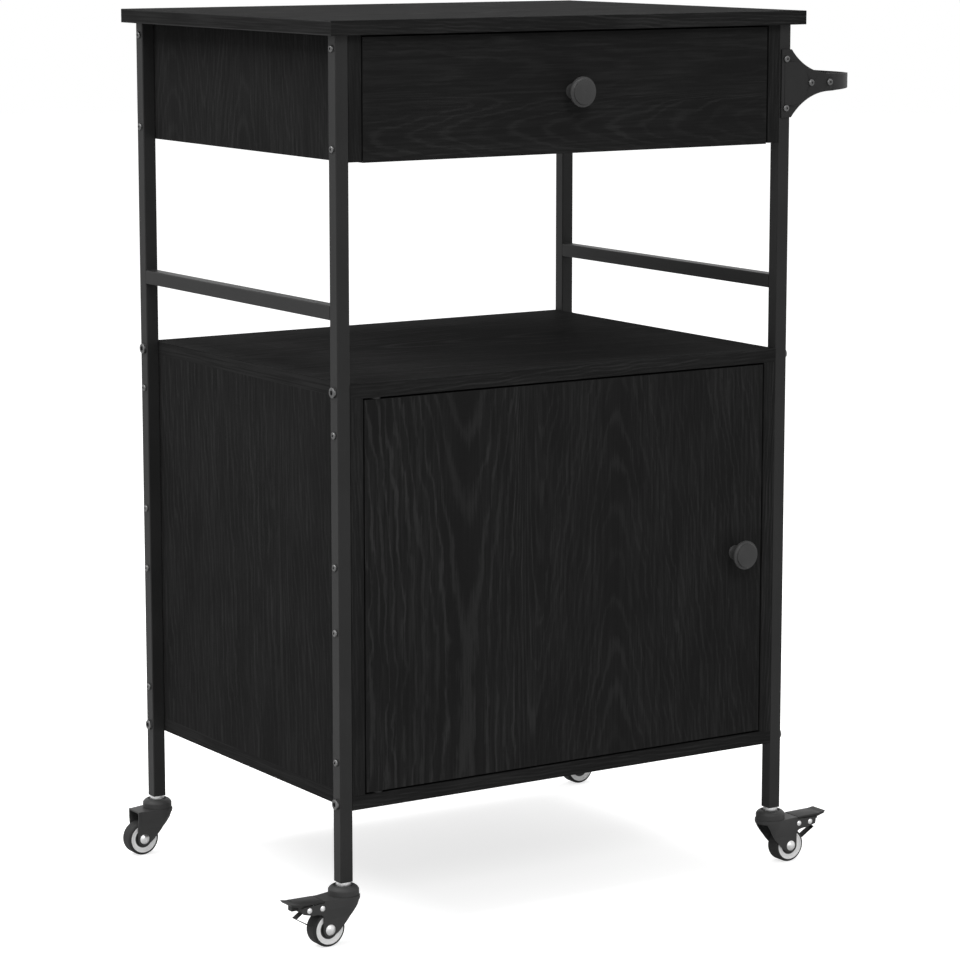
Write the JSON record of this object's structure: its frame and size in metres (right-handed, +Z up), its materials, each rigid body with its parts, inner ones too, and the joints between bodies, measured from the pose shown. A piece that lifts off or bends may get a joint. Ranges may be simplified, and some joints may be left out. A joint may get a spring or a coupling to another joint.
{
  "type": "kitchen cart with drawer",
  "caption": "Kitchen trolley on swivel casters with a worktop, a drawer, an open bay, a hinged cupboard and a side push handle.",
  "frame": {"origin": "on the floor under the middle of the whole cart's box", "axes": "+Z up, -Y out of the drawer and door front, +X to the push handle's side"},
  "size_m": [0.7506, 0.4724, 0.96],
  "materials": {
    "black_oak_board": "matt black foil with a fine open oak grain over chipboard",
    "drawer_board": "matt black foil",
    "hardboard": "dark painted hardboard",
    "beech_dowel": "bare fluted beech",
    "black_powder_coat": "satin black powder coat",
    "black_zinc": "black zinc plate, satin",
    "graphite_knob": "graphite grey satin lacquer",
    "zinc_steel": "bright zinc plate",
    "spring_steel": "rolled steel",
    "caster_steel": "satin black lacquered pressed steel",
    "pedal_plastic": "semi-gloss black moulding",
    "dark_nylon": "dark grey nylon",
    "white_nylon": "off-white moulded nylon",
    "grey_rubber": "dark grey speckled tread rubber"
  },
  "bodies": {
    "cart_frame": {"top_board": "black_oak_board", "leg_front_left": "black_powder_coat", "leg_front_right": "black_powder_coat", "leg_back_left": "black_powder_coat", "leg_back_right": "black_powder_coat", "rail_left": "black_powder_coat", "rail_right": "black_powder_coat", "mid_shelf": "black_oak_board", "bottom_board": "black_oak_board", "upper_side_left": "black_oak_board", "upper_side_right": "black_oak_board", "upper_back": "black_oak_board", "cabinet_side_left": "black_oak_board", "cabinet_side_right": "black_oak_board", "cabinet_back": "black_oak_board", "runners_outer": "zinc_steel", "panel_screws": "black_zinc", "board_bolts": "black_zinc", "handle_brackets": "black_powder_coat", "handle_bar": "black_powder_coat", "handle_screws": "black_zinc", "pivot_bushes": "dark_nylon", "magnet_catch": "dark_nylon", "caster_stems": "zinc_steel", "leg_inserts": "dark_nylon", "top_dowels": "beech_dowel"},
    "drawer": {"drawer_front": "black_oak_board", "drawer_side_left": "drawer_board", "drawer_side_right": "drawer_board", "drawer_back": "drawer_board", "drawer_bottom": "hardboard", "drawer_knob": "graphite_knob", "drawer_knob_screw": "black_zinc", "runners_inner": "zinc_steel"},
    "ball_cages": {"ball_cages": "zinc_steel"},
    "door": {"door": "black_oak_board", "door_knob": "graphite_knob", "door_knob_screw": "black_zinc", "pivot_pins": "black_zinc", "catch_plate": "zinc_steel"},
    "caster_front_left": {"fork_front_left": "caster_steel", "caster_pins_front_left": "zinc_steel"},
    "wheel_front_left": {"rim_front_left": "white_nylon", "tyre_front_left": "grey_rubber"},
    "brake_front_left": {"brake_pedal_front_left": "pedal_plastic", "brake_spring_front_left": "spring_steel"},
    "caster_front_right": {"fork_front_right": "caster_steel", "caster_pins_front_right": "zinc_steel"},
    "wheel_front_right": {"rim_front_right": "white_nylon", "tyre_front_right": "grey_rubber"},
    "brake_front_right": {"brake_pedal_front_right": "pedal_plastic", "brake_spring_front_right": "spring_steel"},
    "caster_back_left": {"fork_back_left": "caster_steel", "caster_pins_back_left": "zinc_steel"},
    "wheel_back_left": {"rim_back_left": "white_nylon", "tyre_back_left": "grey_rubber"},
    "caster_back_right": {"fork_back_right": "caster_steel", "caster_pins_back_right": "zinc_steel"},
    "wheel_back_right": {"rim_back_right": "white_nylon", "tyre_back_right": "grey_rubber"}
  },
  "joints": [
    {"name": "drawer_slide", "type": "slide", "parent": "cart_frame", "child": "drawer", "axis": [0, -1, 0], "range_m": [0, 0.26]},
    {"name": "ball_cage_slide", "type": "slide", "parent": "cart_frame", "child": "ball_cages", "axis": [0, -1, 0], "range_m": [0, 0.13]},
    {"name": "door_hinge", "type": "hinge", "parent": "cart_frame", "child": "door", "pos_m": [-0.26506, -0.20425, 0.366], "axis": [0, 0, -1], "range_deg": [0, 110]},
    {"name": "caster_swivel_front_left", "type": "hinge", "parent": "cart_frame", "child": "caster_front_left", "pos_m": [-0.30525, -0.20425, 0.055], "axis": [0, 0, 1], "continuous": true},
    {"name": "wheel_spin_front_left", "type": "hinge", "parent": "caster_front_left", "child": "wheel_front_left", "pos_m": [-0.32725, -0.20425, 0.019], "axis": [0, 1, 0], "continuous": true},
    {"name": "brake_pedal_front_left", "type": "hinge", "parent": "caster_front_left", "child": "brake_front_left", "pos_m": [-0.35315, -0.20425, 0.044], "axis": [0, -1, 0], "range_deg": [0, 9]},
    {"name": "caster_swivel_front_right", "type": "hinge", "parent": "cart_frame", "child": "caster_front_right", "pos_m": [0.25575, -0.20425, 0.055], "axis": [0, 0, 1], "continuous": true},
    {"name": "wheel_spin_front_right", "type": "hinge", "parent": "caster_front_right", "child": "wheel_front_right", "pos_m": [0.27775, -0.20425, 0.019], "axis": [0, 1, 0], "continuous": true},
    {"name": "brake_pedal_front_right", "type": "hinge", "parent": "caster_front_right", "child": "brake_front_right", "pos_m": [0.30365, -0.20425, 0.044], "axis": [0, 1, 0], "range_deg": [0, 9]},
    {"name": "caster_swivel_back_left", "type": "hinge", "parent": "cart_frame", "child": "caster_back_left", "pos_m": [-0.30525, 0.21675, 0.055], "axis": [0, 0, 1], "continuous": true},
    {"name": "wheel_spin_back_left", "type": "hinge", "parent": "caster_back_left", "child": "wheel_back_left", "pos_m": [-0.32725, 0.21675, 0.019], "axis": [0, 1, 0], "continuous": true},
    {"name": "caster_swivel_back_right", "type": "hinge", "parent": "cart_frame", "child": "caster_back_right", "pos_m": [0.25575, 0.21675, 0.055], "axis": [0, 0, 1], "continuous": true},
    {"name": "wheel_spin_back_right", "type": "hinge", "parent": "caster_back_right", "child": "wheel_back_right", "pos_m": [0.27775, 0.21675, 0.019], "axis": [0, 1, 0], "continuous": true}
  ],
  "couplings": [
    {"joint": "ball_cage_slide", "follows": "drawer_slide", "ratio": 0.5}
  ]
}
